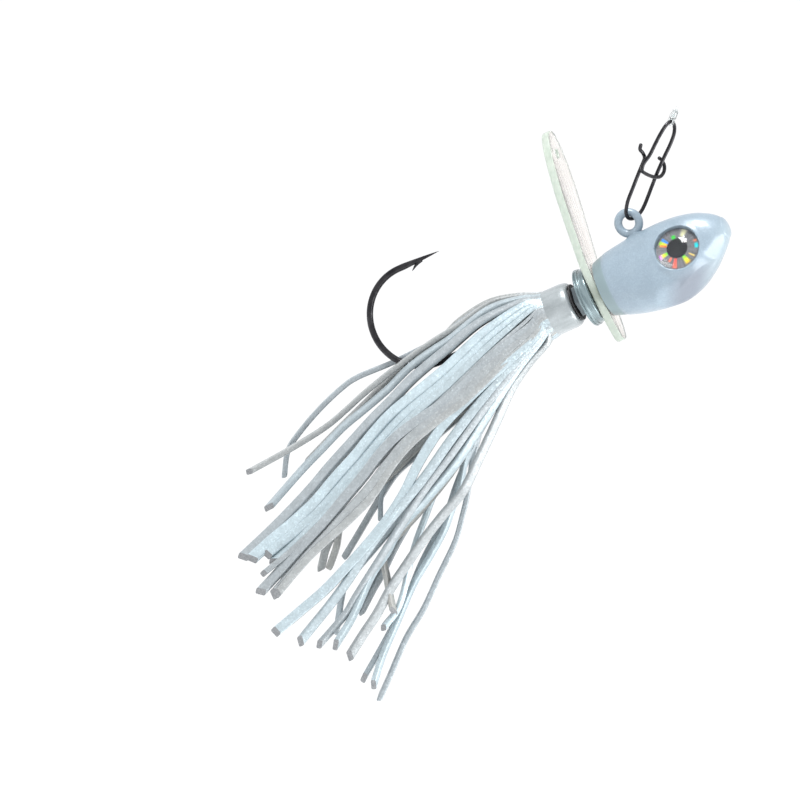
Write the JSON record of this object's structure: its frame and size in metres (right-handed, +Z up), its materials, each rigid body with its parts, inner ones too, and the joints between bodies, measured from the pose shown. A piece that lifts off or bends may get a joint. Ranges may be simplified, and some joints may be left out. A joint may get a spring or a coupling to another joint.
{
  "type": "spinner jig lure",
  "caption": "Cast fish-head jig lure on a wire snap, with a clear blade that turns on the shaft, a strand skirt and one upturned hook.",
  "frame": {"origin": "where the line leaves the knot at the top of the snap", "axes": "+Z up along the line, the lure hangs below; +X towards the head's side, +Y across the lure, through the line eye's hole"},
  "size_m": [0.0629, 0.0228, 0.1155],
  "materials": {
    "clear_line": "gloss",
    "black_nickel": "polished",
    "pearl_coat": "gloss",
    "eye_foil": "polished",
    "eye_resin": "gloss",
    "clear_plastic": "gloss",
    "bush_metal": "satin",
    "grey_collar": "gloss",
    "dark_nut": "satin",
    "black_rubber": "matte",
    "keeper_metal": "satin",
    "pearl_silicone": "satin"
  },
  "bodies": {
    "line": {"line_knot": "clear_line"},
    "snap": {"snap_wire": "black_nickel"},
    "lure": {"hook": "black_nickel", "head_casting": "pearl_coat", "eye_foil_left": "eye_foil", "eye_foil_right": "eye_foil", "eye_dome_left": "eye_resin", "eye_dome_right": "eye_resin", "blade_bush": "bush_metal", "rear_flange": "grey_collar", "lock_nut": "dark_nut", "rear_washer": "black_rubber", "skirt_keeper": "keeper_metal", "skirt": "pearl_silicone"},
    "blade": {"blade": "clear_plastic"}
  },
  "joints": [
    {"name": "snap_swing", "type": "hinge", "parent": "line", "child": "snap", "pos_m": [0, 0, -0.0026], "axis": [0.3746, 0.9272, 0], "range_deg": [-100, 100]},
    {"name": "lure_swing", "type": "hinge", "parent": "snap", "child": "lure", "pos_m": [0, 0, -0.02177], "axis": [0, 1, 0], "range_deg": [-38, 55]},
    {"name": "blade_spin", "type": "hinge", "parent": "lure", "child": "blade", "pos_m": [-0.00108, 0, -0.03604], "axis": [0.6794, 0, 0.7337], "continuous": true}
  ]
}
